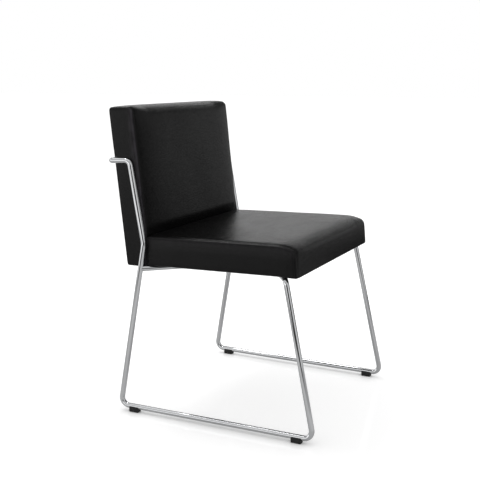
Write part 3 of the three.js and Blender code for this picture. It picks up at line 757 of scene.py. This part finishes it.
def shapeSeat(co, flat, box):
    seat = seatSettings
    width, depth, height = seatSize
    side = math.copysign(1, box.x)
    fromSide = width / 2 - abs(flat.x)
    across = min(abs(flat.x) / (width / 2), 1)
    along = min(max(2 * flat.y / depth - 1, -1), 1)
    up = min(max((flat.z - seat["crownFrom"]) / (height - seat["crownFrom"]), 0), 1)
    level = flat.z / height
    slope = max(0, 1 - flat.y / seat["browLength"]) ** seat["browCurve"]
    atEnd, inMiddle = seat["browDrop"]
    co.z -= (atEnd + (inMiddle - atEnd) * smooth(fromSide, 0, seat["browEnd"])) * slope * level
    co.z += seat["crown"] * (1 - across ** 4) * (1 - along ** 6) * up ** 2
    co.z -= seat["edgeFall"] * (1 - smooth(fromSide, 0, seat["edgeFallWidth"])) * level ** 3
    wave = ripple(1, flat.x * seat["waveScale"], flat.y * seat["waveScale"], 0)
    calm = smooth(min(flat.y, depth - flat.y), *seat["waveFrom"])
    co.z += seat["wave"] * wave * up ** 2 * calm
    # the front leans back at its top and is fullest in its middle
    towardsFront = 1 - smooth(flat.y, 0, seat["frontReach"])
    endSetback, endWidth = seat["endSetback"]
    co.y += towardsFront * (seat["setback"] * level ** seat["setbackCurve"]
                            + endSetback * (1 - smooth(fromSide, 0, endWidth))
                            - seat["frontCrown"] * (1 - across ** 4) * math.sin(math.pi * min(level, 1)))
    co.z -= seat["frontSag"] * towardsFront * max(1 - level, 0)
    # the side panels, which stay clear of the rods at the rear
    clear = smooth(depth - flat.y, *seat["clearOfRods"])
    edgeward = smooth(abs(flat.x), width / 2 - seat["sideReach"], width / 2)
    co.x += side * edgeward * (seat["sideBulge"] * clear - seamPull(box, seatSize, seat["seamPulls"]))
    if fromSide < seat["edgeReach"]:
        co.y += seat["rearFold"] * (1 - fromSide / seat["edgeReach"]) ** 2 * smooth(
            flat.y, depth - seat["foldLength"], depth)
    pinchCorner(co, flat, seatSize, seat)


makeCushion("seatCushion", seatSize, seatSettings, shapeSeat, seatFrame, ["seat_cover", "seat_foam"])
print("seat upholstered")

backSettings = {
    "step": 0.0058,
    "fill": 0.9,
    "edgeReach": 0.005,
    "edgeDrops": (0.012, 0.006, 0.003, 0.0045),
    "endLength": 0.085,        # the roundings and the top change over this length at each end
    "corners": [
        (False, True, (0.014, 0.012), (0.046, 0.026)),
        (True, True, (0.008, 0.008), (0.006, 0.006)),
        (False, False, (0.005, 0.005), (0.008, 0.008)),
        (True, False, (0.007, 0.007), (0.007, 0.007)),
    ],
    "footBend": 0.012,         # half the height of the bend above the square foot
    "footFade": 0.12,          # the slope of the foot's underside fades out over this height
    "crown": 0.009,
    "crownRise": 0.027,        # height over which it grows
    "crownDepth": 0.0561,      # it fades out over this depth
    "topCrown": 0.0016,
    "topReach": 0.08,          # the top's own form fades out over this height
    "cornerFall": 0.0056,      # the top falls off towards its corners
    "fallLost": 0.6,           # share of that fall which is gone at the rear
    "rearRiseReach": 0.05,
    "wave": 0.0006,
    "waveScale": 9,
    "sideReach": 0.03,         # a side panel's own form fades out over this width
    "sideBulge": 0.0008,
    "clearOfRods": (0.29, 0.33),    # height over which the bulge grows
    "seamPulls": [(0.003, 0.024), (0.0008, 0.02), (0.0005, 0.01), (0.0022, 0.02)],
    "dimple": 0.002,
    "dimplePlace": (0.001, 0.006, 0.007),    # from the side, the front and the top
    "dimpleSize": 0.005,
    "dimplePull": (0.7, 0.4, -0.6),    # inwards, rearwards and up
    "paintedSheen": (1, 0, 0.012),    # painted sheen at the front and the top, and how far in
    "sewing": {"from": 0.004, "atFront": 1, "bead": 0.0056, "groove": 0.0009, "valley": 0.0005,
               "pucker": 0.0006, "puckerReach": 0.011},
}
backSize = (backPlace["width"], backPlace["thickness"], backPlace["height"])


def shapeBack(co, flat, box):
    back = backSettings
    width, depth, height = backSize
    side = math.copysign(1, box.x)
    foot, bend = backPlace["squareFoot"], back["footBend"]
    fromSide = width / 2 - abs(flat.x)
    across = min(abs(flat.x) / (width / 2), 1)
    toFront = min(max(1 - flat.y / back["crownDepth"], 0), 1)
    toRear = flat.y / depth
    # the foot stands square to the seat, with a soft bend above it
    if flat.z < foot - bend:
        square = foot - flat.z
    else:
        square = max(foot + bend - flat.z, 0) ** 2 / (4 * bend)
    co.y += square * math.tan(relativeLean) * (1 - toRear)
    co.z += flat.y * math.tan(relativeLean) * (1 - smooth(flat.z, 0, back["footFade"]))
    co.z += backPlace["rearRise"] * toRear * smooth(flat.z, height - back["rearRiseReach"], height)
    towardsEnd = (1 - min(fromSide / back["endLength"], 1)) ** 2
    fall = back["cornerFall"] * towardsEnd * (1 - back["fallLost"] * toRear)
    co.z += (back["topCrown"] - fall) * smooth(flat.z, height - back["topReach"], height)
    rise = smooth(flat.z, foot - bend, foot - bend + back["crownRise"])
    toTop = min(max(flat.z / height, 0), 1)
    swell = back["crown"] * (1 - across ** 6) * rise * (1 - toTop ** 10) * toFront
    wave = ripple(2, flat.x * back["waveScale"], 0, flat.z * back["waveScale"])
    co.y -= swell + back["wave"] * wave * rise * toFront
    # the side panels, which stay clear of the uprights
    clear = smooth(flat.z, *back["clearOfRods"])
    edgeward = smooth(abs(flat.x), width / 2 - back["sideReach"], width / 2)
    co.x += side * edgeward * (back["sideBulge"] * clear - seamPull(box, backSize, back["seamPulls"]))
    pinchCorner(co, flat, backSize, back)


makeCushion("backCushion", backSize, backSettings, shapeBack, backFrame, ["back_cover", "back_foam"])
print("back upholstered")

# clip-on glides

glideSettings = {
    "length": 0.026,
    "foot": 0.0076,            # plastic under the rod
    "groove": 0.0074,          # radius
    "grooveSteps": 20,
    "wall": 0.0016,
    "chamfer": 0.002,
    "fromCorner": 0.030,
    "soften": 0.0006,
    "softenFrom": math.radians(30),    # edges that turn more than this are softened
}


def makeGlide(name, node, sign, atRear):
    glide = glideSettings
    length, groove, chamfer = glide["length"], glide["groove"], glide["chamfer"]
    frontFoot, rearFoot = sideCorners(sign)[4:6]
    start, other = (rearFoot, frontFoot) if atRear else (frontFoot, rearFoot)
    heading = (other - start).normalized()
    middle = start + heading * (glide["fromCorner"] + length / 2)
    half = groove + glide["wall"]
    base = rodSettings["radius"] + glide["foot"]
    outline = [(-half, 0), (-half, chamfer - base), (chamfer - half, -base),
               (half - chamfer, -base), (half, chamfer - base), (half, 0), (groove, 0)]
    for i in range(1, glide["grooveSteps"] + 1):
        angle = math.pi * i / glide["grooveSteps"]
        outline.append((groove * math.cos(angle), -groove * math.sin(angle)))
    bm = bmesh.new()
    face = bm.faces.new([bm.verts.new((x, -length / 2, z)) for x, z in outline])
    straightRun(bm, face, (0, length, 0))
    bmesh.ops.recalc_face_normals(bm, faces=bm.faces)
    crisp = [edge for edge in bm.edges if edge.calc_face_angle() > glide["softenFrom"]]
    bmesh.ops.bevel(bm, geom=crisp, offset=glide["soften"], segments=3, profile=0.5,
                    affect="EDGES", material=-1, clamp_overlap=True)
    level = Vector((heading.x, heading.y, 0)).normalized()
    turn = Matrix((Vector((level.y, -level.x, 0)), level, Vector((0, 0, 1)))).transposed().to_4x4()
    bm.transform(Matrix.Translation(middle) @ turn)
    finishPiece(name, bm, "plastic", [node], 50)


for sideName, sign in (("Right", -1), ("Left", 1)):
    makeGlide("glideFront" + sideName, "glide_front_" + sideName.lower(), sign, False)
    makeGlide("glideRear" + sideName, "glide_rear_" + sideName.lower(), sign, True)
print("glides clipped on")

# studio

studio = {
    "floorSize": 60,
    "floorTone": 0.82,
    "floorGlow": 0.62,         # glow that makes the floor white to the camera, dimmed round the runners as a painted contact shadow
    "paintedShadeReach": 0.3,         # how far round the runners the glow is darkened as painted shadow
    "paintedShadeDepth": 1.3,         # how strongly the painted shadow darkens it
    "floorMirror": 0.16,       # share of a soft mirror image in the floor
    "mirrorTone": 0.9,
    "mirrorRoughness": 0.1,
    "floorInGloss": 0.42,      # tone of the floor as metal and leather show it, between its patches
    "sky": 0.75,
    "cameraSide": (-0.8962, -0.4436, 0),
    "rightSide": (0.4436, -0.8962, 0),
    "reflected": 0.42,         # grey of the room in metal and leather, between the panels
    "overhead": 0.72,
    "overheadFrom": (52, 66),    # degrees up
    "keyPlace": (0.3, 1.16, 2.9),
    "keySize": (1.3, 0.74),
    "keyPower": 17,
}
# panels that metal and leather reflect, in degrees: to the right of the camera's side, half width,
# soft edge, middle of the height, half height, soft edge, and then the level
panels = {
    "left": (-84, 66, 6, 0, 12, 6, 1.3),
    "leftHigh": (-95, 60, 10, 60, 16, 8, 0.8),
    "right": (62, 30, 8, 8, 30, 8, 0.6),
    "rear": (190, 44, 7, 0, 20, 3, 0.5),
    "rearBand": (180, 30, 8, 14, 3.5, 3, 1.85),
    "rearGap": (168, 33, 8, 38, 17, 3, 0.1),
    "frontHigh": (128, 28, 8, 26, 13, 5, 0.1),
    "frontDark": (102, 15, 4, 5, 26, 9, 0.05),
    "frontPale": (136, 17, 4, 0, 7, 3, 0.5),
    "cameraFlag": (1, 22, 4, 5, 12, 4, 0.02),
}
# patches of light and shade on the floor, seen only in metal and leather: angles as above, then the
# middle of the distance from the chair, half depth and soft edge in metres, and then the tone
floorPatches = {
    "camera": (0, 60, 15, 0, 1.5, 0.6, 0.6),
    "leftPool": (-54, 46, 7, 5.5, 2.8, 0.35, 1.15),
    "leftShade": (-34, 14, 6, 2.1, 0.6, 0.3, 0.06),
    "cameraShade": (1, 22, 4, 34, 31.6, 0.4, 0.02),
    "frontHalf": (104, 18, 6, 2.4, 1.7, 0.4, 0.6),
    "frontShade": (140, 20, 7, 2.4, 1.7, 0.4, 0.02),
    "farDark": (102, 15, 4, 34, 29.8, 0.5, 0.06),
    "farPale": (136, 17, 4, 36, 29.6, 1, 0.38),
    "under": (0, 200, 1, 0, 0.62, 0.12, 0.55),
}


def inDegrees(angle):
    return angle * (180 / math.pi)


def angleAround(tree, heading):
    # degrees to the right of the camera's side
    forward, aside = (tree.add("ShaderNodeVectorMath", {"operation": "DOT_PRODUCT"},
                               {0: heading, 1: studio[side]}, "Value")
                      for side in ("cameraSide", "rightSide"))
    return inDegrees(tree.maths("ARCTAN2", aside, forward))


def patched(tree, angle, other, tone, patches):
    for middle, half, edge, centre, reach, fade, brightness in patches.values():
        # the nearest way round from the patch's middle
        aside = tree.maths("FLOORED_MODULO", angle - middle + 540, 360) - 180
        aside = tree.maths("ABSOLUTE", aside)
        away = tree.maths("ABSOLUTE", other - centre)
        inside = 1 - aside.above(half - edge, half + edge)
        inside *= 1 - away.above(reach - fade, reach + fade)
        tone = tree.mix(inside, tone, grey(brightness))
    return tone


def buildFloor(tree):
    rays = tree.add("ShaderNodeLightPath")
    place = objectCoordinates(tree)
    distance = tree.add("ShaderNodeVectorMath", {"operation": "LENGTH"}, {0: place}, "Value")
    inGloss = grey(studio["floorInGloss"])
    inGloss = patched(tree, angleAround(tree, place), distance, inGloss, floorPatches)
    tone = tree.mix(rays.out("Is Glossy Ray"), grey(studio["floorTone"]), inGloss)
    # painted contact shadow: the glow that the camera sees is dimmed by ambient occlusion round the
    # runners
    unshaded = tree.add("ShaderNodeAmbientOcclusion", {"samples": 8},
                        {"Distance": studio["paintedShadeReach"]}, "AO")
    shown = rays.out("Is Camera Ray") * unshaded ** studio["paintedShadeDepth"]
    matt = tree.add("ShaderNodeBsdfPrincipled", None, {
        "Base Color": tone, "Roughness": 1.0, "Specular IOR Level": 0.0,
        "Emission Color": tree.mix(shown, grey(0), grey(studio["floorGlow"])), "Emission Strength": 1.0})
    mirror = tree.add("ShaderNodeBsdfGlossy", None, {
        "Color": grey(studio["mirrorTone"]), "Roughness": studio["mirrorRoughness"]})
    share = studio["floorMirror"] * rays.out("Is Camera Ray")
    return tree.add("ShaderNodeMixShader", None, {0: share, 1: matt, 2: mirror})


def buildSurround(tree):
    rays = tree.add("ShaderNodeLightPath")
    heading = tree.add("ShaderNodeTexCoord", None, None, "Generated")
    height = tree.add("ShaderNodeSeparateXYZ", None, {"Vector": heading}, "Z")
    rise = inDegrees(tree.maths("ARCSINE", height))
    around = tree.mix(rise.above(*studio["overheadFrom"]), grey(studio["reflected"]),
                      grey(studio["overhead"]))
    around = patched(tree, angleAround(tree, heading), rise, around, panels)
    seen = tree.mix(rays.out("Is Glossy Ray"), grey(studio["sky"]), around)
    seen = tree.mix(rays.out("Is Camera Ray"), seen, grey(1))
    return tree.add("ShaderNodeBackground", None, {"Color": seen})


def makeStudio():
    bm = bmesh.new()
    bmesh.ops.create_grid(bm, x_segments=1, y_segments=1, size=studio["floorSize"] / 2)
    mesh = bpy.data.meshes.new("floor")
    bm.to_mesh(mesh)
    bm.free()
    floor = bpy.data.objects.new("floor", mesh)
    scene.collection.objects.link(floor)
    mesh.materials.append(newMaterial("paleFloor", buildFloor))

    world = bpy.data.worlds.new("studio")
    world.use_nodes = True
    tree = Tree(world.node_tree)
    tree.add("ShaderNodeOutputWorld", None, {"Surface": buildSurround(tree)})
    scene.world = world

    lamp = bpy.data.lights.new("key", "AREA")
    lamp.shape = "RECTANGLE"
    lamp.size, lamp.size_y = studio["keySize"]
    lamp.energy = studio["keyPower"]
    key = bpy.data.objects.new("key", lamp)
    key.location = studio["keyPlace"]
    scene.collection.objects.link(key)
    scene.view_settings.view_transform = "Standard"


makeStudio()
print("studio lit")
